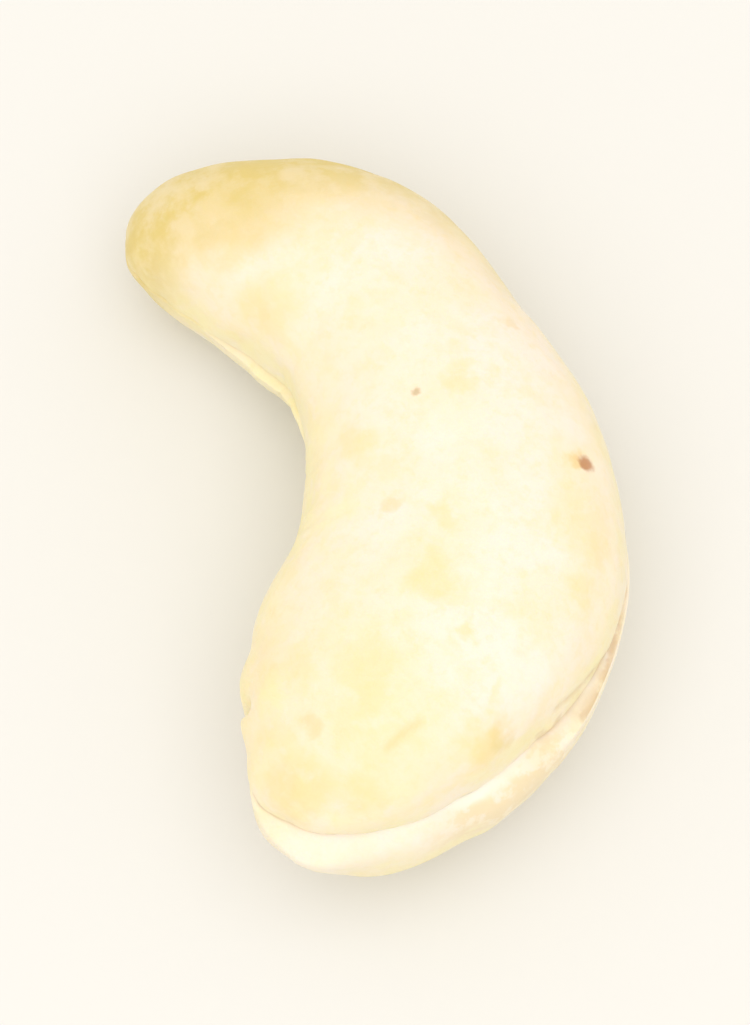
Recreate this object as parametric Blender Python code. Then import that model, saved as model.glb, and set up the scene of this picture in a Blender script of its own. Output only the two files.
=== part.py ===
"""A whole, peeled cashew kernel lying on its side, in metres, with +Z up.

The kernel is one seed. Its two halves meet on a seam that runs right round the edge, with one
half above the seam and one below. Round the thick end the lower half stands a little proud of
the upper one. The tip of the embryo shows as a small nib on the seam, inside the curve, with
a notch between it and the thick end.

A sphere is stretched along the kernel's spine, which bends in a plane like the letter C. Every
section across the spine is a full oval, and the seam, the step, the nib, the notch and the soft
dents are relief, raised or sunk straight out of that oval by a formula.
"""

import math

import bmesh
import bpy
import numpy as np
from mathutils import Vector, noise

MM = 0.001

# The spine from the slim end to the thick end, and the oval section at each place, in millimetres:
# x and y of the spine, height of the seam, half width, thickness above and below the seam.
STATIONS = (
    (-9.1, 10.7, -1.2, 2.8, 3.2, 3.6),
    (-6.2, 10.6, -1.1, 3.1, 3.7, 4.2),
    (-3.1, 9.9, -0.9, 3.8, 4.2, 4.3),
    (-0.1, 8.2, -0.6, 4.3, 4.7, 4.5),
    (1.5, 5.5, -0.3, 4.4, 5.0, 4.9),
    (2.8, 2.3, 0.1, 5.4, 5.1, 5.3),
    (3.2, -0.8, 0.5, 5.8, 5.0, 5.7),
    (2.7, -4.0, 1.0, 6.1, 4.9, 6.4),
    (0.8, -6.9, 1.4, 5.9, 4.5, 6.8),
    (-0.7, -9.9, 1.7, 4.8, 4.1, 6.9),
    (-2.7, -12.9, 1.8, 3.6, 3.6, 6.0),
)

# How finely the spine is read between the stations, and how often each place is averaged with
# its neighbours, so that the bend has no kinks.
SPINE_SAMPLES = 400
SPINE_SMOOTHING = 500

# How far back from each tip the section starts to close, in millimetres. A section or an end with
# power 2 is an ellipse, and more is squarer. The back is fuller than the inside by a share.
SLIM_END_ROUNDING = 4.8
THICK_END_ROUNDING = 7.2
END_POWER = 2.3
SECTION_POWER = 2.15
BACK_FULLNESS = 0.10

# The groove of the seam: its depth in millimetres, and its spread in radians round the section.
GROOVE_DEPTH = 0.25
GROOVE_SPREAD = 0.04

# The step round the thick end, which starts at a share of the spine and grows over another. The
# upper half is set in and the lower half has a lip, in millimetres, each over a spread in radians.
# The upper half's edge rounds off over a height in millimetres. Inside the curve the step dies out.
STEP_START = 0.62
STEP_GROWTH = 0.05
UPPER_INSET = 0.80
UPPER_INSET_SPREAD = 0.60
LOWER_LIP = 0.25
LOWER_LIP_SPREAD = 0.45
EDGE_ROUNDING = 0.15
STEP_REACH_INSIDE = 0.60

# Inside the curve the upper half is also set in a little, all along.
INSIDE_INSET = 0.15
INSIDE_INSET_SPREAD = 0.50

# The embryo's nib and the notch: height or depth, distance from the thick tip and length along the
# spine, in millimetres, and spread in radians.
NIB = (0.30, 4.2, 0.8, 0.30)
NOTCH = (0.35, 3.3, 0.4, 0.35)

# The broad and the small swells of the surface: height in millimetres, and swells per millimetre.
BROAD_SWELLS = (0.28, 0.22)
SMALL_SWELLS = (0.08, 0.60)

# The mesh: rings along the spine, points round each ring, and how far the points crowd
# towards the seam, from 0 to 1.
RINGS = 80
RING_POINTS = 48
SEAM_CROWDING = 0.70

# The kernel rests on a spot this deep, cut level, in millimetres.
FLAT_SPOT_DEPTH = 0.25

KERNEL_COLOUR = (0.86, 0.74, 0.49, 1.0)
KERNEL_ROUGHNESS = 0.55

# Small steps for finding the slope of the surface, in millimetres and radians, and how near a tip
# the slope is read.
SLOPE_STEP = 0.01
NEAREST_TIP = 0.02


def bump(value, spread):
    """1 at nothing, falling smoothly to nothing a few spreads away."""
    return math.exp(-((value / spread) ** 2))


def signed_power(value, power):
    return math.copysign(abs(value) ** power, value)


def closing(distance, length):
    """A quarter of an oval that rounds off an end: 0 at the tip, and 1 from this length on."""
    return (1.0 - max(0.0, 1.0 - distance / length) ** END_POWER) ** (1 / END_POWER)


def smooth_through(rows, shares):
    """The rows joined by a smooth curve, read at these shares of the way along x and y."""
    rows = np.asarray(rows, float)
    steps = np.linalg.norm(np.diff(rows[:, :2], axis=0), axis=1)
    knots = np.concatenate([[0.0], np.cumsum(steps)])
    slopes = np.gradient(rows, knots, axis=0)
    places = np.asarray(shares) * knots[-1]
    left = np.clip(np.searchsorted(knots, places, side="right") - 1, 0, len(knots) - 2)
    gap = (knots[left + 1] - knots[left])[:, None]
    t = (places - knots[left])[:, None] / gap
    from_left = (2 * t**3 - 3 * t**2 + 1) * rows[left] + (t**3 - 2 * t**2 + t) * gap * slopes[left]
    from_right = (3 * t**2 - 2 * t**3) * rows[left + 1] + (t**3 - t**2) * gap * slopes[left + 1]
    return from_left + from_right


class Spine:
    """The kernel's spine, with the section wanted at any distance along it."""

    def __init__(self):
        rows = smooth_through(STATIONS, np.linspace(0.0, 1.0, SPINE_SAMPLES))
        for _ in range(SPINE_SMOOTHING):
            rows[1:-1] = (rows[:-2] + 2 * rows[1:-1] + rows[2:]) / 4
        steps = np.linalg.norm(np.diff(rows[:, :2], axis=0), axis=1)
        self.rows = rows
        self.run = np.concatenate([[0.0], np.cumsum(steps)])
        self.length = self.run[-1]
        forward = np.gradient(rows[:, :2], self.run, axis=0)
        forward /= np.linalg.norm(forward, axis=1)[:, None]
        self.outward = np.stack([-forward[:, 1], forward[:, 0]], axis=1)

    def station(self, distance):
        return [float(np.interp(distance, self.run, column)) for column in self.rows.T]

    def towards_back(self, distance):
        return Vector([float(np.interp(distance, self.run, column)) for column in self.outward.T]).normalized()

    def openness(self, distance):
        """How wide the section is here, as a share: 0 at either tip and 1 along the middle."""
        slim = closing(max(0.0, distance), SLIM_END_ROUNDING)
        thick = closing(max(0.0, self.length - distance), THICK_END_ROUNDING)
        return slim * thick


def plain_point(spine, distance, angle):
    """A point of the smooth oval form, in millimetres, at a distance along the spine.

    Angle 0 is the seam on the back, a quarter turn is the top, and a half turn is the seam inside
    the curve.
    """
    x, y, seam, half_width, above, below = spine.station(distance)
    back = spine.towards_back(distance)
    opened = spine.openness(distance)
    across = signed_power(math.cos(angle), 2 / SECTION_POWER)
    up = signed_power(math.sin(angle), 2 / SECTION_POWER)
    reach = half_width * opened * across
    thickness = above if up > 0 else below
    height = thickness * opened * up * (1 + BACK_FULLNESS * across)
    return Vector((x + back.x * reach, y + back.y * reach, seam + height))


def straight_out(spine, distance, angle):
    """The direction straight out of the smooth oval form, which at a tip is along the spine."""
    near = min(max(distance, NEAREST_TIP), spine.length - NEAREST_TIP)
    along = plain_point(spine, near + SLOPE_STEP, angle) - plain_point(spine, near - SLOPE_STEP, angle)
    around = plain_point(spine, near, angle + SLOPE_STEP) - plain_point(spine, near, angle - SLOPE_STEP)
    return around.cross(along).normalized()


def seam_relief(share, angle, opened, rise):
    """The groove of the seam, and the step between the halves beside it, in millimetres.

    The rise is the height above the seam.
    """
    from_seam = math.asin(opened * abs(math.sin(angle)))
    inside_curve = opened * max(0.0, -math.cos(angle))
    growth = 1 / (1 + math.exp(-(share - STEP_START) / STEP_GROWTH))
    step = growth * bump(inside_curve, STEP_REACH_INSIDE)
    groove = GROOVE_DEPTH * bump(from_seam, GROOVE_SPREAD)
    if rise < 0.001:
        return LOWER_LIP * step * bump(from_seam, LOWER_LIP_SPREAD) - groove
    inset = UPPER_INSET * step * bump(from_seam, UPPER_INSET_SPREAD)
    inset += INSIDE_INSET * inside_curve * bump(from_seam, INSIDE_INSET_SPREAD)
    return -inset * (1 - math.exp(-rise / EDGE_ROUNDING)) - groove


def knob(size, from_thick_tip, angle):
    """A small rounded rise inside the curve, on the seam."""
    height, place, length, spread = size
    return height * bump(from_thick_tip - place, length) * bump(angle - math.pi, spread)


def swells(size, point):
    height, per_mm = size
    return height * noise.noise(point * per_mm + Vector((3.1, 0.7, 5.2)))


def kernel_point(spine, share, angle):
    """A point of the kernel's surface, in millimetres, at a share of the spine and an angle round it."""
    distance = share * spine.length
    plain = plain_point(spine, distance, angle)
    rise = plain.z - spine.station(distance)[2]
    relief = seam_relief(share, angle, spine.openness(distance), rise)
    relief += knob(NIB, spine.length - distance, angle)
    relief -= knob(NOTCH, spine.length - distance, angle)
    relief += swells(BROAD_SWELLS, plain) + swells(SMALL_SWELLS, plain)
    return plain + straight_out(spine, distance, angle) * relief


def crowded(angle):
    """The angle moved towards the nearer seam, so that the groove has points of its own."""
    return angle - SEAM_CROWDING / 2 * math.sin(2 * angle)


def rest_on_flat_spot(points):
    """The points with the lowest part cut level, centred over the origin and standing on z = 0."""
    floor = min(p.z for p in points) + FLAT_SPOT_DEPTH
    middle_x = (min(p.x for p in points) + max(p.x for p in points)) / 2
    middle_y = (min(p.y for p in points) + max(p.y for p in points)) / 2
    return [Vector((p.x - middle_x, p.y - middle_y, max(p.z, floor) - floor)) for p in points]


def kernel_mesh():
    """A sphere whose rings are carried along the spine and shaped point by point."""
    spine = Spine()
    bm = bmesh.new()
    bmesh.ops.create_uvsphere(bm, u_segments=RING_POINTS, v_segments=RINGS, radius=1.0)
    points = []
    for vertex in bm.verts:
        share = min(1.0, max(0.0, (1.0 - vertex.co.z) / 2))
        angle = crowded(math.atan2(vertex.co.y, vertex.co.x) % (2 * math.pi))
        points.append(kernel_point(spine, share, angle))
    for vertex, point in zip(bm.verts, rest_on_flat_spot(points)):
        vertex.co = point * MM
    bm.normal_update()
    bmesh.ops.recalc_face_normals(bm, faces=bm.faces)
    mesh = bpy.data.meshes.new("cashew_kernel")
    bm.to_mesh(mesh)
    bm.free()
    mesh.shade_smooth()
    return mesh


def kernel_material():
    material = bpy.data.materials.new("kernel")
    material.use_nodes = True
    shader = material.node_tree.nodes["Principled BSDF"]
    shader.inputs["Base Color"].default_value = KERNEL_COLOUR
    shader.inputs["Roughness"].default_value = KERNEL_ROUGHNESS
    shader.inputs["Metallic"].default_value = 0.0
    return material


def main():
    for obj in list(bpy.data.objects):
        bpy.data.objects.remove(obj)
    collection = bpy.data.collections.new("cashew_nut")
    bpy.context.scene.collection.children.link(collection)
    kernel = bpy.data.objects.new("cashew_kernel", kernel_mesh())
    kernel.data.materials.append(kernel_material())
    collection.objects.link(kernel)


main()
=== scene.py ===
"""A whole, peeled cashew kernel lying on its side on a pale tabletop under soft studio light.

The kernel is modelled straight first, from the thick tip to the slim tip, with its seam level all
the way round. Then it is bent along its spine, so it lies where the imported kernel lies. In the
straight model x runs along the spine, y points to the inside of the bend, and z is the height above
the seam. Every place, size and reach on the kernel is in millimetres.
"""

import math

import bmesh
import bpy
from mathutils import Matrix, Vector


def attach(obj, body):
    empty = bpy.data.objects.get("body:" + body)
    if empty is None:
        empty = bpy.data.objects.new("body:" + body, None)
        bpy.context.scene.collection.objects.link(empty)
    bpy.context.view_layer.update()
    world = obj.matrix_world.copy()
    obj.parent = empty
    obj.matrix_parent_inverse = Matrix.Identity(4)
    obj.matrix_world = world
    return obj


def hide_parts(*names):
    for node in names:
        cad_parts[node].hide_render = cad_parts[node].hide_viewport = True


MM = 0.001

# A distance that nothing on the kernel reaches, and how near a vertex is when it counts as being on a
# section, in the middle of one, or at a place.
FAR = 100.0
ON_SECTION = 0.01
IN_MIDDLE = 0.1
AT_PLACE = 0.001

# Sections of the straight kernel: distance from the thick tip, half width, and thickness above and
# below the seam.
SECTIONS = (
    (0.3, 1.40, 1.30, 2.17),
    (1.0, 2.45, 2.19, 3.67),
    (2.2, 3.55, 3.05, 5.24),
    (4.0, 4.75, 3.90, 6.56),
    (6.2, 5.75, 4.45, 7.15),
    (8.6, 6.20, 4.75, 7.05),
    (11.0, 6.12, 4.93, 6.70),
    (13.4, 5.93, 5.00, 6.25),
    (15.8, 5.70, 5.07, 5.85),
    (18.2, 5.05, 5.04, 5.45),
    (20.6, 4.50, 4.95, 5.00),
    (23.0, 4.50, 4.75, 4.65),
    (25.4, 4.40, 4.45, 4.45),
    (27.6, 3.80, 4.15, 4.45),
    (29.4, 3.20, 3.75, 4.27),
    (30.8, 2.56, 3.05, 3.60),
    (31.85, 1.88, 2.22, 2.58),
    (32.45, 1.16, 1.36, 1.55),
)

# The patch that the sections are drawn out from: cells along each side, and where its border starts.
PATCH_CELLS = 4
PATCH_BORDER = 0.9

# Subdividing draws a sixteen-sided section in by this share.
ROUNDING_LOSS = 0.974

# How far the thick and the slim tip are drawn out into a dome, how wide the dome is as a share of its
# section, and how many times that far the surface follows.
THICK_TIP_OUT = 0.42
SLIM_TIP_OUT = 0.40
DOME_SHARE = 0.75
DOME_REACH = 1.5

# The spine from the thick tip to the slim tip, at the height of the seam.
SPINE = (
    (-3.13, -12.60, 6.92),
    (-1.40, -10.91, 6.86),
    (0.00, -8.74, 6.70),
    (1.24, -6.52, 6.46),
    (2.46, -4.27, 6.15),
    (3.04, -1.83, 5.78),
    (2.95, 0.69, 5.43),
    (2.38, 3.14, 5.12),
    (1.40, 5.47, 4.83),
    (0.09, 7.62, 4.58),
    (-1.85, 9.20, 4.35),
    (-4.19, 10.16, 4.16),
    (-6.63, 10.73, 4.02),
    (-9.09, 10.92, 3.92),
)
SPINE_SMOOTHNESS = 24

# The seam: how far out its side loops lie, how many strips lie between them, and how deep the middle
# loop is sunk.
SEAM_LOOPS = 0.22
SEAM_STRIPS = 4
GROOVE_DEPTH = 0.18

# Heights just above and just below the middle of the seam, which part the upper half from the lower.
UPPER_SIDE = 0.04
LOWER_SIDE = -0.05

# The loops by the seam on the upper half.
UPPER_LOOPS = (LOWER_SIDE, 0.3)

# How far from the thick tip the step between the halves reaches, and the lip of the lower half. Both
# lie on the back, past a distance from the spine.
STEP_END = 8.2
LIP_END = 12.0
BACK = -1.2

# The edge of the thick end is scaled about this place.
THICK_MIDDLE = (12.5, 1.5, 0)

# Stretches of the thick end's edge, as limits along x, y and z.
UPPER_EDGE = ((-FAR, STEP_END), (-FAR, BACK), UPPER_LOOPS)
UPPER_CORNER = ((-FAR, 1.6), (0.3, FAR), UPPER_LOOPS)
LOWER_EDGE = ((-FAR, LIP_END), (-FAR, BACK), (-1.7, -0.45))
LOWER_TIP = ((-FAR, 0.7), (-1.3, 1.8), (-2.0, -0.15))
LOWER_BACK = ((1.3, 3.3), (-FAR, -2.2), (-1.7, -0.15))
INNER_CORNER = ((0.8, 3.2), (1.6, FAR), (-1.6, 1.6))

# How each stretch is scaled along and across, or moved, and how far round it the surface follows.
UPPER_SET_IN = ((0.905, 0.90), 4.8)
UPPER_CORNER_OUT = ((-0.42, 0.02, 0), 2.2)
LOWER_LIP = ((1.0, 1.03), 3.0)
LOWER_TIP_OUT = ((-0.20, 0, 0), 2.0)
LOWER_BACK_IN = ((0.22, 0.28, 0), 2.4)
INNER_CORNER_OUT = ((-0.28, 0.26, 0), 2.8)

# The shoulder of the lower half, from the outer loop to the one at the seam: the heights between which
# each loop lies, how it is scaled along and across, and how far it drops.
SHOULDER = (
    ((-0.3, -0.15), (0.98, 0.97), 0.22),
    ((-0.15, -0.06), (0.93, 0.915), 0.02),
)

# At its tip the shoulder is moved in, not scaled: by as much as scaling takes off this length.
SHOULDER_TIP = ((-FAR, 0.9), (-1.2, 1.3))
SHOULDER_TIP_LENGTH = 6

# The upper half of the slim end, inside the bend, is drawn in from the lower one.
SLIM_INSIDE = ((21.0, 27.0), (2.0, FAR), UPPER_LOOPS)
SLIM_INSIDE_IN = ((0, -0.28, 0), 2.6)

# Small pulls on the inner side: the place, the move and how far it reaches. The first two widen and
# narrow the bend, the next two fill the thick end, and the rest make a small dip in its edge.
INNER_PULLS = (
    ((26.3, 4.3, -0.6), (0, 0.17, 0), 3.6),
    ((19.0, 4.8, 0.0), (0, -0.14, 0), 3.2),
    ((1.9, 3.7, 0.2), (-0.20, 0.28, 0), 1.5),
    ((4.4, 5.0, 0.2), (-0.10, 0.17, 0), 1.6),
    ((2.75, 4.2, -0.8), (0.26, -0.40, 0), 0.5),
    ((2.8, 4.3, -0.2), (0.26, -0.40, 0), 0.5),
    ((2.9, 4.3, 0.25), (0.28, -0.42, 0), 0.45),
    ((2.85, 4.3, 0.7), (0.26, -0.40, 0), 0.5),
)

# Small pulls that round out the low corner at the thick tip and draw in the edge beside and below it.
TIP_PULLS = (
    ((0.2, 1.3, -1.2), (-0.08, -0.12, 0), 1.9),
    ((1.6, -2.6, -1.2), (0.15, 0.15, 0), 2.6),
    ((0.9, -1.2, -2.6), (0.20, 0.02, 0), 2.4),
)

# The last pulls, which sharpen the dip in the inner edge into a nick.
NICK_PULLS = (
    ((2.85, 4.2, -0.55), (0.08, -0.24, 0), 0.34),
    ((2.90, 4.2, -0.15), (0.08, -0.28, 0), 0.34),
    ((2.95, 4.2, 0.25), (0.08, -0.28, 0), 0.34),
    ((2.95, 4.2, 0.65), (0.08, -0.24, 0), 0.34),
)

# Creases on the back beside the seam, drawn as x and z, each with its depth and width.
BACK_CREASES = (
    (((8.8, 1.25), (9.4, 0.90), (10.0, 0.45), (10.6, 0.10)), 0.07, 0.16),
    (((9.3, -0.12), (10.0, -0.14), (10.8, -0.08), (12.4, 0.0)), 0.12, 0.09),
    (((9.0, -0.75), (10.2, -0.62), (11.4, -0.48)), 0.06, 0.12),
    (((15.0, 0.35), (17.5, 0.42), (19.5, 0.22)), 0.06, 0.12),
    (((22.0, -0.30), (24.5, -0.42), (27.0, -0.20)), 0.07, 0.12),
)

# The depth that the creases are weighed against, and how far from the seam they are looked for.
FULL_CREASE = 0.13
CREASES_REACH = 2.4

# Small pits on the upper side: x and y, depth and width.
PITS = (
    (17.36, 1.01, 0.05, 0.14),
    (14.44, -4.39, 0.06, 0.22),
    (8.3, -1.6, 0.03, 0.30),
    (21.5, -1.9, 0.03, 0.18),
    (26.3, 0.6, 0.03, 0.20),
    (5.9, 2.1, 0.03, 0.22),
)

# A faint scratch on the upper side, drawn as x and y, with its depth and width.
SCRATCH = (((3.6, -1.24), (4.2, -1.45), (4.8, -1.77)), 0.03, 0.15)

# The depth that the pits and the scratch are weighed against, and the height the upper side starts at.
FULL_PIT = 0.06
UPPER_SURFACE = 1.0

# Areas of the straight kernel. Each is full where all its fades are: an axis, where the fade starts,
# and where it is full.
PUCKERED = (("y", 2.8, 5.0), ("x", 8.0, 13.0), ("x", 29.0, 24.0))
# The inside of the bend, made yellower: partly the skin's own straw, partly painted shade in the hollow of
# the bend.
INNER_CURVE = (("y", 2.2, 5.2), ("x", 5.0, 12.0), ("x", 31.0, 26.0))
# The sides and underside, made yellower: partly the skin's own straw, partly painted shade on the flanks
# that turn away from the light.
SIDES = (("z", 3.6, 1.0),)
# The paler rim of the lower half: partly the skin's own colour, partly painted light on its lit shoulder.
RIM = (("z", 0.10, 0.0), ("z", -1.7, -0.5), ("x", 15.0, 10.0), ("y", 2.2, -1.4))
# The stretch of a painted highlight: a near-white streak on the lit lip of the lower half, just under the
# seam.
LIP_HIGHLIGHT = (("x", 1.4, 2.6), ("x", 7.2, 5.6), ("y", -1.0, -2.0))
MOTTLED_RIM = (("z", -2.6, -1.4), ("x", 2.6, 4.4), ("x", 10.0, 8.0), ("y", 0.0, -1.5))
FAINT_SEAM = (("x", 2.0, 3.5), ("x", 7.6, 6.4), ("y", 0.0, -1.5))

# Bands along the seam: the height of the middle of each, and its spread. Where the seam is faint, this
# share of its brown line is gone.
ROUGH_BAND = (-0.1, 0.5)
# The band of the painted highlight on the lip.
LIP_HIGHLIGHT_BAND = (-0.12, 0.14)
# The band of the brown seam line, partly the skin's colour and partly painted shade in the groove.
SEAM_BAND = (0.06, 0.06)
FAINTNESS = 0.8

# The mottling of the rim fades in from the seam downwards. Further from the tip it comes up higher.
MOTTLE_TOP = (-0.10, -0.34)
MOTTLE_RISE = 0.2
MOTTLE_RISE_ALONG = (5.4, 7.4)

# The tint of the slim tip: where its border crosses the spine, its slant, and its softness.
# The tint is partly the tip's own olive straw and partly painted shade on its far side.
TINT_PLACE = 28.0
TINT_SLANT = (0.62, 0.85)
TINT_SOFTNESS = 2.0

# A painted area is kept in this many steps when it weighs a relief.
WEIGHT_STEPS = 40


def start_clean():
    if bpy.context.object and bpy.context.object.mode != "OBJECT":
        bpy.ops.object.mode_set(mode="OBJECT")
    bpy.ops.object.select_all(action="DESELECT")


def pick(piece, kind, test):
    """Selects the vertices, edges or faces whose vertices all pass a test of their place."""
    bpy.ops.mesh.select_mode(type={"verts": "VERT", "edges": "EDGE", "faces": "FACE"}[kind])
    bpy.ops.mesh.select_all(action="DESELECT")
    bm = bmesh.from_edit_mesh(piece.data)
    for item in getattr(bm, kind):
        corners = [item] if kind == "verts" else item.verts
        if not item.hide and all(test(corner.co / MM) for corner in corners):
            item.select_set(True)
    bmesh.update_edit_mesh(piece.data)


def within(limits):
    """A test of whether a place lies inside limits along x, y and z."""
    return lambda c: all(low < value < high for value, (low, high) in zip(c, limits))


def apply_all(piece):
    start_clean()
    bpy.context.view_layer.objects.active = piece
    piece.select_set(True)
    for modifier in list(piece.modifiers):
        bpy.ops.object.modifier_apply(modifier=modifier.name)


def draw_out_sections():
    """A small rounded patch at the thick tip, drawn out through every section to the slim tip."""
    start_clean()
    here = SECTIONS[0][0]
    bpy.ops.mesh.primitive_grid_add(
        x_subdivisions=PATCH_CELLS,
        y_subdivisions=PATCH_CELLS,
        size=2 * MM,
        location=(here * MM, 0, 0),
        rotation=(0, -math.pi / 2, 0),
    )
    kernel = bpy.context.object
    kernel.name = kernel.data.name = "whole_kernel"
    bpy.ops.object.transform_apply(location=True, rotation=True, scale=True)
    bpy.ops.object.mode_set(mode="EDIT")
    pick(kernel, "verts", lambda c: max(abs(c.y), abs(c.z)) > PATCH_BORDER)
    bpy.ops.transform.tosphere(value=1.0)
    width = max(vertex.co.y for vertex in bmesh.from_edit_mesh(kernel.data).verts) / MM
    bpy.ops.mesh.select_all(action="SELECT")
    for place, half_width, _, _ in SECTIONS:
        if place != here:
            move = ((place - here) * MM, 0, 0)
            bpy.ops.mesh.extrude_region_move(TRANSFORM_OT_translate={"value": move})
            here = place
        grow = half_width / ROUNDING_LOSS / width
        bpy.ops.transform.resize(value=(1, grow, grow), center_override=(place * MM, 0, 0))
        width *= grow
    for place, half_width, above, below in SECTIONS:
        for side, thickness in ((1, above), (-1, below)):
            pick(kernel, "verts", lambda c: abs(c.x - place) < ON_SECTION and c.z * side > ON_SECTION)
            stretch = thickness / half_width
            bpy.ops.transform.resize(value=(1, 1, stretch), center_override=(place * MM, 0, 0))
    pick(kernel, "edges", lambda c: abs(c.z) < ON_SECTION)
    bpy.ops.mesh.mark_seam(clear=False)
    return kernel


def round_the_tips(kernel):
    """The middle of each end is drawn out, so that the tip is domed."""
    for section, out in ((SECTIONS[0], -THICK_TIP_OUT), (SECTIONS[-1], SLIM_TIP_OUT)):
        place, half_width = section[:2]
        pick(kernel, "verts", lambda c: abs(c.x - place) < ON_SECTION and math.hypot(c.y, c.z) < IN_MIDDLE)
        bpy.ops.transform.translate(
            value=(out * MM, 0, 0),
            use_proportional_edit=True,
            use_proportional_connected=True,
            proportional_edit_falloff="SPHERE",
            proportional_size=DOME_REACH * (DOME_SHARE * half_width) * MM,
        )
    bpy.ops.mesh.select_all(action="SELECT")
    bpy.ops.mesh.normals_make_consistent(inside=False)


def round_off(kernel, levels):
    bpy.ops.object.mode_set(mode="OBJECT")
    smoother = kernel.modifiers.new("rounding", "SUBSURF")
    smoother.levels = smoother.render_levels = levels
    apply_all(kernel)
    bpy.ops.object.mode_set(mode="EDIT")


def pick_marked_seam(kernel):
    bpy.ops.mesh.select_mode(type="EDGE")
    bpy.ops.mesh.select_all(action="DESELECT")
    bm = bmesh.from_edit_mesh(kernel.data)
    for edge in bm.edges:
        if edge.seam:
            edge.select_set(True)
    bmesh.update_edit_mesh(kernel.data)


def open_the_seam(kernel):
    """Close loops beside the seam, with the middle one sunk into a groove."""
    pick_marked_seam(kernel)
    bpy.ops.transform.resize(value=(1, 1, 0), center_override=(0, 0, 0))
    bpy.ops.mesh.bevel(offset=SEAM_LOOPS * MM, segments=SEAM_STRIPS, profile=0.5)
    pick(kernel, "verts", lambda c: abs(c.z) < UPPER_SIDE)
    bpy.ops.transform.shrink_fatten(value=-GROOVE_DEPTH * MM)


def hide_lower_half(kernel):
    pick(kernel, "faces", lambda c: c.z < UPPER_SIDE)
    bpy.ops.mesh.hide(unselected=False)


def hide_upper_half(kernel):
    pick(kernel, "faces", lambda c: c.z > LOWER_SIDE)
    bpy.ops.mesh.hide(unselected=False)


def scale_about_middle(scale, reach=0.0):
    """Scales what is picked about the thick end's middle. The surface follows out to the reach."""
    bpy.ops.transform.resize(
        value=(*scale, 1),
        center_override=[value * MM for value in THICK_MIDDLE],
        use_proportional_edit=reach > 0,
        proportional_edit_falloff="SMOOTH",
        proportional_size=(reach or 1) * MM,
    )


def slide(move, reach):
    """Moves what is picked, and less and less of the surface out to the reach."""
    bpy.ops.transform.translate(
        value=Vector(move) * MM,
        use_proportional_edit=True,
        proportional_edit_falloff="SMOOTH",
        proportional_size=reach * MM,
    )


def step_the_thick_end(kernel):
    """Round the thick end the upper half is set in, and the lower one has a round shoulder."""
    hide_lower_half(kernel)
    pick(kernel, "verts", within(UPPER_EDGE))
    scale_about_middle(*UPPER_SET_IN)
    pick(kernel, "verts", within(UPPER_CORNER))
    slide(*UPPER_CORNER_OUT)
    bpy.ops.mesh.reveal(select=False)
    hide_upper_half(kernel)
    pick(kernel, "verts", within(LOWER_EDGE))
    scale_about_middle(*LOWER_LIP)
    pick(kernel, "verts", within(LOWER_TIP))
    slide(*LOWER_TIP_OUT)
    pick(kernel, "verts", within(LOWER_BACK))
    slide(*LOWER_BACK_IN)
    bpy.ops.mesh.reveal(select=False)
    for heights, scale, drop in SHOULDER:
        pick(kernel, "verts", within(((-FAR, STEP_END), (-FAR, BACK), heights)))
        scale_about_middle(scale)
        bpy.ops.transform.translate(value=(0, 0, -drop * MM))
        pick(kernel, "verts", within((*SHOULDER_TIP, heights)))
        move_in = (1 - scale[0]) * SHOULDER_TIP_LENGTH
        bpy.ops.transform.translate(value=(move_in * MM, 0, -drop * MM))


def fill_the_inner_corner(kernel):
    """The thick end is fuller on its inner side, where the two halves lie flush."""
    pick(kernel, "verts", within(INNER_CORNER))
    slide(*INNER_CORNER_OUT)


def lip_the_slim_end(kernel):
    """Inside the bend, the lower half of the slim end stands a little proud of the upper one."""
    hide_lower_half(kernel)
    pick(kernel, "verts", within(SLIM_INSIDE))
    slide(*SLIM_INSIDE_IN)
    bpy.ops.mesh.reveal(select=False)


def pull(kernel, place, move, reach):
    """Moves the surface nearest to a place, and less and less of it out to the reach."""
    bm = bmesh.from_edit_mesh(kernel.data)
    nearest = min(bm.verts, key=lambda v: (v.co / MM - Vector(place)).length).co / MM
    pick(kernel, "verts", lambda c: (c - nearest).length < AT_PLACE)
    slide(move, reach)


def bend_along_spine(kernel):
    """Lays the straight kernel along its spine."""
    start_clean()
    bpy.ops.curve.primitive_bezier_curve_add()
    spine = bpy.context.object
    spine.data.dimensions = "3D"
    spine.data.twist_mode = "Z_UP"
    spine.data.resolution_u = SPINE_SMOOTHNESS
    points = spine.data.splines[0].bezier_points
    points.add(len(SPINE) - len(points))
    for point, place in zip(points, SPINE):
        point.handle_left_type = point.handle_right_type = "AUTO"
        point.co = Vector(place) * MM
    bend = kernel.modifiers.new("bend", "CURVE")
    bend.object = spine
    bend.deform_axis = "POS_X"
    apply_all(kernel)
    bpy.data.objects.remove(spine)


def fade(value, start, full):
    """0 at the start, rising smoothly to 1 where it is full."""
    t = min(1.0, max(0.0, (value - start) / (full - start)))
    return t * t * (3 - 2 * t)


def near(value, place, spread):
    return math.exp(-(((value - place) / spread) ** 2))


def share_of(area, c):
    """How far a place lies in an area: 0 outside it and 1 where it is full."""
    return math.prod(fade(getattr(c, axis), start, full) for axis, start, full in area)


def from_line(u, v, line):
    """How far a place lies from a drawn line."""
    spot = Vector((u, v))
    best = FAR
    for start, end in zip(line, line[1:]):
        a, along = Vector(start), Vector(end) - Vector(start)
        share = min(1.0, max(0.0, (spot - a).dot(along) / along.length_squared))
        best = min(best, (spot - a - along * share).length)
    return best


def line_depth(u, v, lines, deepest):
    """The depth of drawn lines at a place, as a share of the deepest."""
    return max(depth / deepest * near(from_line(u, v, line), 0.0, width) for line, depth, width in lines)


def back_crease_at(c):
    if c.y > 0 or abs(c.z) > CREASES_REACH:
        return 0.0
    return line_depth(c.x, c.z, BACK_CREASES, FULL_CREASE)


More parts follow.
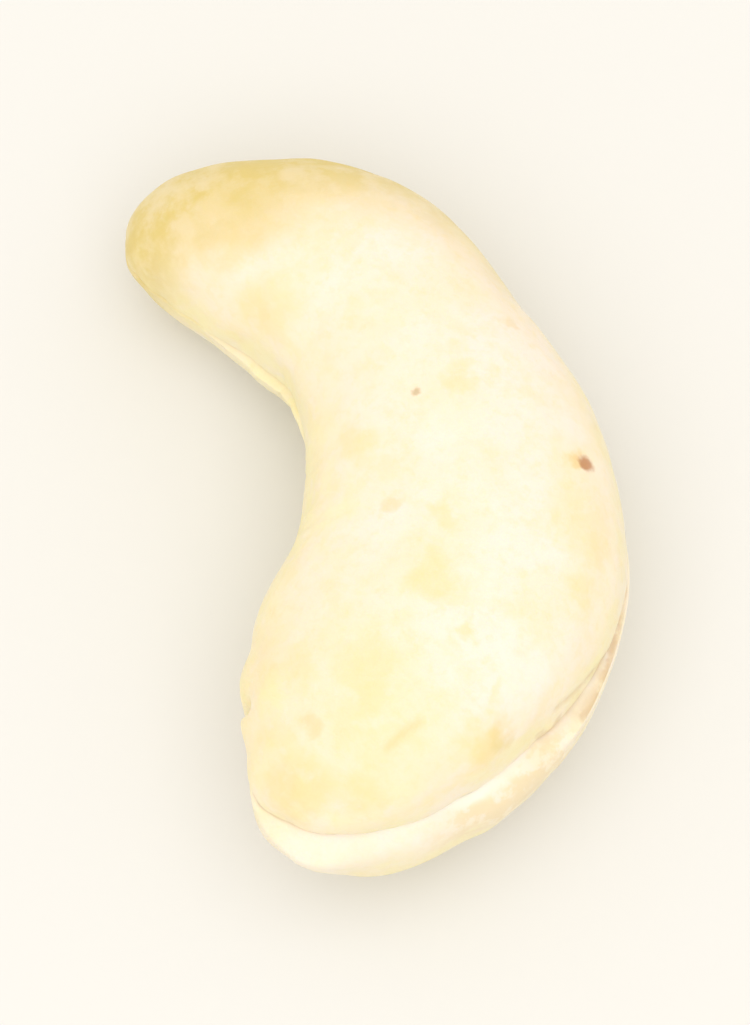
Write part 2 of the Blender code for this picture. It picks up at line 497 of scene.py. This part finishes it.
def pit_at(c):
    if c.z < UPPER_SURFACE:
        return 0.0
    deepest = max(
        depth / FULL_PIT * near((c.xy - Vector((x, y))).length, 0.0, width) for x, y, depth, width in PITS
    )
    return max(deepest, line_depth(c.x, c.y, (SCRATCH,), FULL_PIT))


def scratch_at(c):
    return line_depth(c.x, c.y, (SCRATCH,), SCRATCH[1]) if c.z > UPPER_SURFACE else 0.0


def slim_tip_at(c):
    """The tint of the slim tip, partly its own olive straw and partly painted shade on the far side,
    reaches further along the back than along the inside of the bend.
    """
    along, across = TINT_SLANT
    return fade(along * (c.x - TINT_PLACE) - across * c.y, -TINT_SOFTNESS, TINT_SOFTNESS)


def beige_rim_at(c):
    rise = MOTTLE_RISE * fade(c.x, *MOTTLE_RISE_ALONG)
    return fade(c.z - rise, *MOTTLE_TOP) * share_of(MOTTLED_RIM, c)


def seam_line_at(c):
    return near(c.z, *SEAM_BAND) * (1 - FAINTNESS * share_of(FAINT_SEAM, c))


def roughness_at(c):
    return near(c.z, *ROUGH_BAND)


def puckers_at(c):
    return share_of(PUCKERED, c)


def paint(kernel, name, weight_at):
    """A painted mask on the straight kernel, read by the finish: 0 to 1 at each place."""
    mask = kernel.data.attributes.new(name, "FLOAT", "POINT")
    mask.data.foreach_set("value", [weight_at(vertex.co / MM) for vertex in kernel.data.vertices])


def paint_masks(kernel):
    # The slim tip's tint: partly olive straw, partly painted shade on the far side.
    paint(kernel, "slim_tip", slim_tip_at)
    # Straw inside the bend: partly the skin's colour, partly painted shade in its hollow.
    paint(kernel, "inner_curve", lambda c: share_of(INNER_CURVE, c))
    # Yellower sides: partly the skin's own straw, partly painted shade.
    paint(kernel, "sides", lambda c: share_of(SIDES, c))
    # A paler rim: partly the skin's colour, partly painted light on the lit shoulder.
    paint(kernel, "rim", lambda c: share_of(RIM, c))
    # A painted highlight along the lit lip under the seam.
    paint(kernel, "lip_highlight", lambda c: near(c.z, *LIP_HIGHLIGHT_BAND) * share_of(LIP_HIGHLIGHT, c))
    paint(kernel, "beige_rim", beige_rim_at)
    paint(kernel, "scratch_line", scratch_at)
    # A brown line along the seam: partly the skin's colour, partly painted shade in the groove.
    paint(kernel, "seam_line", seam_line_at)
    # Brown along the back creases: partly the skin's colour, partly painted shade in the creases.
    paint(kernel, "crease_line", back_crease_at)


def relief(kernel, name, height, weight_at=None, size=None, stretch=(1, 1, 1), detail=2):
    """Raises the surface by a height, or sinks it, within a painted area.

    With a size, the height comes and goes in soft lumps of that size.
    """
    push = kernel.modifiers.new(name, "DISPLACE")
    push.strength = height * MM
    push.mid_level = 0.0
    if weight_at:
        group = kernel.vertex_groups.new(name=name)
        strengths = {}
        for vertex in kernel.data.vertices:
            strength = round(weight_at(vertex.co / MM) * WEIGHT_STEPS)
            strengths.setdefault(strength, []).append(vertex.index)
        for strength, indices in strengths.items():
            if strength > 0:
                group.add(indices, strength / WEIGHT_STEPS, "REPLACE")
        push.vertex_group = name
    if size:
        lumps = bpy.data.textures.new(name, "CLOUDS")
        lumps.noise_basis = "IMPROVED_PERLIN"
        lumps.noise_scale = 1.0
        lumps.noise_depth = detail
        bpy.ops.object.empty_add()
        guide = bpy.context.object
        guide.scale = [size * MM * share for share in stretch]
        bpy.context.view_layer.update()
        push.texture = lumps
        push.texture_coords = "OBJECT"
        push.texture_coords_object = guide
        push.mid_level = 0.5
    apply_all(kernel)
    if size:
        bpy.data.objects.remove(guide)


def work_the_surface(kernel):
    """Soft swells, puckers inside the bend, a rough seam, creases beside it, pits and a scratch."""
    relief(kernel, "broad_swells", 0.40, size=5.5, detail=0)
    relief(kernel, "small_swells", 0.16, size=1.9, detail=1)
    relief(kernel, "bend_puckers", 0.09, puckers_at, size=0.9, stretch=(0.7, 2.6, 2.6), detail=1)
    relief(kernel, "seam_roughness", 0.16, roughness_at, size=0.8, stretch=(1.6, 1, 1), detail=2)
    relief(kernel, "back_creases", -FULL_CREASE, back_crease_at)
    relief(kernel, "pits", -FULL_PIT, pit_at)


def rest_on_flat_spot(kernel):
    """The lowest part is pressed level with the tabletop."""
    start_clean()
    bpy.context.view_layer.objects.active = kernel
    bpy.ops.object.mode_set(mode="EDIT")
    pick(kernel, "verts", lambda c: c.z < 0)
    bpy.ops.transform.resize(value=(1, 1, 0), center_override=(0, 0, 0))
    bpy.ops.object.mode_set(mode="OBJECT")


def cashew():
    kernel = draw_out_sections()
    round_the_tips(kernel)
    round_off(kernel, levels=1)
    open_the_seam(kernel)
    step_the_thick_end(kernel)
    fill_the_inner_corner(kernel)
    lip_the_slim_end(kernel)
    round_off(kernel, levels=2)
    for place, move, reach in INNER_PULLS + TIP_PULLS:
        pull(kernel, place, move, reach)
    round_off(kernel, levels=1)
    for place, move, reach in NICK_PULLS:
        pull(kernel, place, move, reach)
    bpy.ops.object.mode_set(mode="OBJECT")
    paint_masks(kernel)
    work_the_surface(kernel)
    bend_along_spine(kernel)
    rest_on_flat_spot(kernel)
    start_clean()
    kernel.select_set(True)
    bpy.context.view_layer.objects.active = kernel
    bpy.ops.object.shade_smooth()
    kernel.data.materials.append(peeled_skin())
    return kernel


class Finish:
    """A new material, built by short calls. A value or a socket may be given for an input."""

    def __init__(self, name):
        self.material = bpy.data.materials.new(name)
        self.material.use_nodes = True
        self.tree = self.material.node_tree
        self.shader = self.tree.nodes["Principled BSDF"]
        place = self.add("ShaderNodeTexCoord").outputs["Object"]
        self.place = self.vector("SCALE", {0: place, "Scale": 1 / MM})

    def add(self, kind, inputs=(), **settings):
        node = self.tree.nodes.new(kind)
        for name, value in settings.items():
            setattr(node, name, value)
        for name, value in dict(inputs).items():
            self.put(node.inputs[name], value)
        return node

    def put(self, socket, value):
        if isinstance(value, bpy.types.NodeSocket):
            self.tree.links.new(value, socket)
        else:
            socket.default_value = value

    def vector(self, operation, inputs, output="Vector"):
        return self.add("ShaderNodeVectorMath", inputs, operation=operation).outputs[output]

    def noise(self, per_mm, detail, roughness=0.5, warp=0.0):
        inputs = {"Vector": self.place, "Scale": per_mm, "Detail": detail}
        inputs.update({"Roughness": roughness, "Distortion": warp})
        return self.add("ShaderNodeTexNoise", inputs).outputs["Fac"]

    def ramp(self, value, low, high, to_low=0.0, to_high=1.0):
        inputs = {"Value": value, "From Min": low, "From Max": high, "To Min": to_low, "To Max": to_high}
        return self.add("ShaderNodeMapRange", inputs, interpolation_type="SMOOTHSTEP").outputs[0]

    def mask(self, name):
        return self.add("ShaderNodeAttribute", attribute_name=name).outputs["Fac"]

    def plus(self, first, second):
        return self.add("ShaderNodeMath", {0: first, 1: second}, operation="ADD").outputs[0]

    def times(self, first, second):
        return self.add("ShaderNodeMath", {0: first, 1: second}, operation="MULTIPLY").outputs[0]

    def mix(self, share, below, above):
        node = self.add("ShaderNodeMix", {"Factor": share, 6: below, 7: above}, data_type="RGBA")
        return node.outputs[2]

    def layer(self, below, area, colour, noise, span, shares):
        """Lays a colour over another, in shares that go with a noise, all over or in a painted area."""
        share = self.ramp(self.noise(*noise), *span, *shares)
        if area:
            share = self.times(self.mask(area), share)
        return self.mix(share, below, colour)

    def away_from(self, centre, place):
        return self.vector("DISTANCE", {0: place, 1: centre}, output="Value")

    def spot(self, centre, size):
        """1 inside a small spot with an uneven edge, and 0 outside it."""
        wobble = SPOT_WOBBLE * size
        uneven = self.ramp(self.noise(SPOT_LUMPS / size, 2.0), 0.3, 0.7, -wobble, wobble)
        away = self.plus(self.away_from(centre, self.place), uneven)
        return self.ramp(away, size * SPOT_EDGE[0], size * SPOT_EDGE[1])

    def stir(self, per_mm, detail, roughness, reach):
        """The place on the piece, stirred about by a soft noise, so that a patch has no hard shape."""
        inputs = {"Vector": self.place, "Scale": per_mm, "Detail": detail, "Roughness": roughness}
        noise = self.add("ShaderNodeTexNoise", inputs).outputs["Color"]
        centred = self.vector("SUBTRACT", {0: noise, 1: (0.5, 0.5, 0.5)})
        return self.vector("ADD", {0: self.place, 1: self.vector("SCALE", {0: centred, "Scale": reach})})

    def cloud(self, stirred, centre, size):
        """A soft cloudy patch: 1 in its middle and 0 outside it."""
        return self.ramp(self.away_from(centre, stirred), size * PATCH_EDGE[0], size * PATCH_EDGE[1])


CREAM = (0.90, 0.815, 0.745, 1)
IVORY = (0.895, 0.79, 0.635, 1)
STRAW = (0.87, 0.715, 0.36, 1)
# A straw that carries painted shade on the sides and in the inner bend, and is also the colour of one
# patch.
SIDE_STRAW = (0.89, 0.83, 0.45, 1)
PALE = (0.91, 0.845, 0.80, 1)
TAN = (0.78, 0.60, 0.27, 1)
# OLIVE also tints the slim tip, where it is partly painted shade.
OLIVE = (0.725, 0.585, 0.22, 1)
# The rim's paler cream, which partly carries painted light on the lit shoulder.
PALE_RIM = (0.895, 0.83, 0.775, 1)
BEIGE_RIM = (0.84, 0.72, 0.51, 1)
# The near-white of the painted highlight on the lip.
HIGHLIGHT_WHITE = (0.93, 0.91, 0.85, 1)
# SEAM_BROWN is also laid along the seam and the back creases, where it is partly painted shade.
SEAM_BROWN = (0.64, 0.47, 0.30, 1)
SPECK_BROWN = (0.50, 0.22, 0.10, 1)
SPOT_BROWN = (0.55, 0.40, 0.20, 1)
AMBER = (0.86, 0.60, 0.24, 1)

# Layers of colour on the cream, from below: the painted area each fills, or None for all of the
# kernel, its colour, its noise (lumps to a millimetre, detail, roughness and warp), the span of the
# noise that counts, and the shares of the colour at the two ends of that span.
FIRST_LAYERS = (
    (None, IVORY, (0.30, 2.0, 0.45, 0.4), (0.34, 0.68), (0.0, 1.0)),
    (None, STRAW, (0.85, 4.0, 0.60, 0.2), (0.45, 0.72), (0.0, 0.30)),
    # Straw on the sides: partly the skin's own colour, partly painted shade.
    ("sides", SIDE_STRAW, (0.45, 3.0, 0.55), (0.34, 0.70), (0.20, 0.65)),
    (None, STRAW, (2.6, 4.0, 0.6), (0.44, 0.80), (0.0, 0.35)),
    # Straw inside the bend: partly the skin's colour, partly painted shade in its hollow.
    ("inner_curve", SIDE_STRAW, (1.0, 4.0), (0.3, 0.7), (0.15, 0.60)),
)

# The layers that lie over the soft patches.
LAST_LAYERS = (
    (None, CREAM, (1.3, 3.0, 0.5, 0.3), (0.50, 0.78), (0.0, 0.45)),
    # The slim tip: partly olive straw, partly painted shade on the far side.
    ("slim_tip", OLIVE, (0.8, 4.0, 0.6), (0.35, 0.62), (0.60, 1.0)),
    # The rim: partly paler skin, partly painted light on the lit shoulder.
    ("rim", PALE_RIM, (1.1, 3.0), (0.30, 0.60), (0.95, 0.55)),
    ("beige_rim", BEIGE_RIM, (1.3, 4.0, 0.6), (0.42, 0.57), (0.25, 1.0)),
    # The painted highlight on the lip under the seam.
    ("lip_highlight", HIGHLIGHT_WHITE, (0.8, 3.0), (0.35, 0.60), (0.5, 1.0)),
    # The seam line: partly brown skin, partly painted shade in the groove.
    ("seam_line", SEAM_BROWN, (0.9, 3.0), (0.36, 0.66), (0.30, 0.60)),
    # The back creases: partly brown skin, partly painted shade in the creases.
    ("crease_line", SEAM_BROWN, (1.2, 3.0), (0.36, 0.54), (0.15, 0.75)),
)
SCRATCH_SHARE = 0.4

# What stirs the shapes of the soft patches: a noise (lumps to a millimetre, detail and roughness), and
# how far it stirs them. A patch's edge lies between these shares of its size.
STIR = (0.9, 3.0, 0.55, 2.2)
PATCH_EDGE = (0.60, 0.16)

# Soft patches on the upper side: place and size, colour, and how strong each is.
PATCHES = (
    ((-1.6, -8.4, 10.1), 9.5, STRAW, 0.34),
    ((-2.8, -7.4, 9.8), 1.8, STRAW, 0.40),
    ((-0.3, -8.0, 10.8), 3.0, STRAW, 0.36),
    ((-2.3, -9.5, 9.9), 1.0, TAN, 0.42),
    ((-3.6, -8.2, 9.2), 1.8, SIDE_STRAW, 0.45),
    ((-0.7, -9.6, 10.4), 2.2, STRAW, 0.35),
    ((-2.4, -11.4, 9.1), 2.8, STRAW, 0.60),
    ((-3.2, -11.7, 8.4), 2.6, TAN, 0.34),
    ((-0.5, -12.0, 9.4), 2.0, STRAW, 0.50),
    ((2.1, -4.3, 10.9), 2.6, STRAW, 0.50),
    ((3.2, -5.3, 10.8), 1.3, STRAW, 0.35),
    ((3.3, -6.4, 10.8), 1.1, STRAW, 0.50),
    ((4.2, -8.5, 10.2), 0.9, STRAW, 0.40),
    ((5.2, -6.8, 10.2), 0.9, TAN, 0.30),
    ((7.5, -2.0, 9.2), 3.2, STRAW, 0.50),
    ((7.2, -4.2, 9.4), 1.6, STRAW, 0.40),
    ((4.1, -10.2, 9.4), 2.8, STRAW, 0.75),
    ((4.7, -9.7, 9.2), 1.9, OLIVE, 0.38),
    ((2.3, -2.2, 10.8), 1.3, STRAW, 0.45),
    ((0.5, -1.3, 10.2), 1.0, TAN, 0.34),
    ((-0.6, 1.1, 9.3), 2.2, STRAW, 0.45),
    ((2.9, 3.6, 10.0), 1.4, STRAW, 0.50),
    ((4.9, 5.8, 8.7), 0.9, TAN, 0.35),
    ((6.8, 0.9, 9.3), 1.8, STRAW, 0.30),
    ((-3.8, 6.9, 7.5), 3.0, STRAW, 0.45),
    ((-5.3, 10.4, 7.8), 4.2, OLIVE, 0.34),
    ((-3.8, 10.3, 8.2), 4.0, OLIVE, 0.30),
    ((5.0, -7.3, 9.7), 2.8, PALE, 0.60),
    ((5.2, -8.9, 9.0), 1.8, PALE, 0.45),
    ((2.7, 1.2, 10.6), 3.4, PALE, 0.40),
    ((6.9, 1.9, 9.0), 2.0, PALE, 0.50),
    ((3.6, -4.6, 10.6), 2.2, PALE, 0.30),
    ((7.12, 0.80, 9.12), 0.9, AMBER, 0.60),
    ((6.05, -8.65, 6.33), 1.1, SEAM_BROWN, 0.40),
)

# The two small dark marks on the upper side: place and size, colour, and how strong each is. The edge
# of a mark lies between shares of its size, and is made uneven by a share of it, in lumps to its size.
DARK_MARKS = (
    ((7.42, 0.62, 8.84), 0.80, SPECK_BROWN, 0.85),
    ((1.48, 2.90, 10.02), 0.42, SPOT_BROWN, 0.65),
)
SPOT_EDGE = (0.60, 0.18)
SPOT_WOBBLE = 0.12
SPOT_LUMPS = 1.6

# The gloss of the skin: its noise, the span of the noise that counts, and the roughness at the two ends
# of that span. Then how much light goes in under the skin, how far for red, green and blue as shares
# of a depth, and that depth in metres.
GLOSS_NOISE = (1.4, 3.0)
GLOSS_SPAN = (0.3, 0.7)
ROUGHNESS = (0.44, 0.58)
SPECULAR = 0.4
LIGHT_IN = 0.2
LIGHT_IN_BY_COLOUR = (1.0, 0.75, 0.45)
LIGHT_IN_DEPTH = 0.0012

# The grain of the skin: a fine noise and a coarse one, the weight of the coarse one, and the bump that
# they make, whose height is in metres.
FINE_GRAIN = (9.0, 4.0, 0.6)
COARSE_GRAIN = (2.2, 3.0)
COARSE_WEIGHT = 1.5
GRAIN_STRENGTH = 0.4
GRAIN_HEIGHT = 0.00004


def peeled_skin():
    skin = Finish("peeled_cashew_skin")
    colour = CREAM
    for layer in FIRST_LAYERS:
        colour = skin.layer(colour, *layer)
    stirred = skin.stir(*STIR)
    for place, size, patch_colour, strength in PATCHES:
        colour = skin.mix(skin.times(skin.cloud(stirred, place, size), strength), colour, patch_colour)
    for layer in LAST_LAYERS:
        colour = skin.layer(colour, *layer)
    colour = skin.mix(skin.times(skin.mask("scratch_line"), SCRATCH_SHARE), colour, AMBER)
    for place, size, mark_colour, strength in DARK_MARKS:
        colour = skin.mix(skin.times(skin.spot(place, size), strength), colour, mark_colour)
    skin.put(skin.shader.inputs["Base Color"], colour)
    roughness = skin.ramp(skin.noise(*GLOSS_NOISE), *GLOSS_SPAN, *ROUGHNESS)
    skin.put(skin.shader.inputs["Roughness"], roughness)
    skin.shader.inputs["Subsurface Weight"].default_value = LIGHT_IN
    skin.shader.inputs["Subsurface Radius"].default_value = LIGHT_IN_BY_COLOUR
    skin.shader.inputs["Subsurface Scale"].default_value = LIGHT_IN_DEPTH
    skin.shader.inputs["Specular IOR Level"].default_value = SPECULAR
    grain = skin.plus(skin.noise(*FINE_GRAIN), skin.times(skin.noise(*COARSE_GRAIN), COARSE_WEIGHT))
    bump_inputs = {"Height": grain, "Strength": GRAIN_STRENGTH, "Distance": GRAIN_HEIGHT}
    bump = skin.add("ShaderNodeBump", bump_inputs)
    skin.put(skin.shader.inputs["Normal"], bump.outputs[0])
    return skin.material


# The tabletop, the studio and the camera, in metres.
TABLETOP_SIDE = 1.2
TABLETOP_GREY = (0.78, 0.79, 0.82, 1)
TABLETOP_ROUGHNESS = 0.7
STUDIO_COLOUR = (1, 0.94, 0.81, 1)
STUDIO_STRENGTH = 1.02
LAMP_PLACE = Vector((-0.01, -0.14, 0.47))
LAMP_SIDE = 0.50
LAMP_POWER = 0.86
CAMERA_TARGET = Vector((0, 0, 0.0055))
CAMERA_DISTANCE = 0.4046
CAMERA_ELEVATION = 70
CAMERA_LENS = 400
CAMERA_SENSOR = 36
NEAREST_SEEN = 0.01


def tabletop():
    start_clean()
    bpy.ops.mesh.primitive_plane_add(size=TABLETOP_SIDE)
    floor = bpy.context.object
    floor.name = "tabletop"
    material = bpy.data.materials.new("pale_tabletop")
    material.use_nodes = True
    shader = material.node_tree.nodes["Principled BSDF"]
    shader.inputs["Base Color"].default_value = TABLETOP_GREY
    shader.inputs["Roughness"].default_value = TABLETOP_ROUGHNESS
    floor.data.materials.append(material)


def studio_light():
    """Even warm light from all round, and a large soft lamp above."""
    world = bpy.data.worlds.new("studio")
    bpy.context.scene.world = world
    world.use_nodes = True
    background = world.node_tree.nodes["Background"]
    background.inputs["Color"].default_value = STUDIO_COLOUR
    background.inputs["Strength"].default_value = STUDIO_STRENGTH
    bpy.ops.object.light_add(type="AREA", location=LAMP_PLACE)
    lamp = bpy.context.object
    lamp.name = "soft_box"
    lamp.data.size = LAMP_SIDE
    lamp.data.energy = LAMP_POWER
    lamp.rotation_euler = LAMP_PLACE.to_track_quat("Z", "Y").to_euler()
    bpy.context.scene.view_settings.view_transform = "Standard"


def camera():
    """A long lens, looking down at the kernel as steeply as the photograph does."""
    data = bpy.data.cameras.new("camera")
    data.lens = CAMERA_LENS
    data.sensor_fit = "VERTICAL"
    data.sensor_height = CAMERA_SENSOR
    data.clip_start = NEAREST_SEEN
    camera = bpy.data.objects.new("camera", data)
    bpy.context.scene.collection.objects.link(camera)
    elevation = math.radians(CAMERA_ELEVATION)
    direction = Vector((0, -math.cos(elevation), math.sin(elevation)))
    camera.location = CAMERA_TARGET + direction * CAMERA_DISTANCE
    camera.rotation_euler = (camera.location - CAMERA_TARGET).to_track_quat("Z", "Y").to_euler()
    bpy.context.scene.camera = camera


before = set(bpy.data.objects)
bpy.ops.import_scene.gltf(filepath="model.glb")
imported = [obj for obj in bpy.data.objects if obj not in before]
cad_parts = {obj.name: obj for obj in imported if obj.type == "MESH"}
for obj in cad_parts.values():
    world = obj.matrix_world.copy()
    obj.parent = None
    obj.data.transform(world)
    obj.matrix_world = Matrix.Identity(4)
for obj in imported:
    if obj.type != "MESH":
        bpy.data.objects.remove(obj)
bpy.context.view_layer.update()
kernel = cashew()
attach(kernel, "root")
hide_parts("cashew_kernel")
tabletop()
studio_light()
camera()
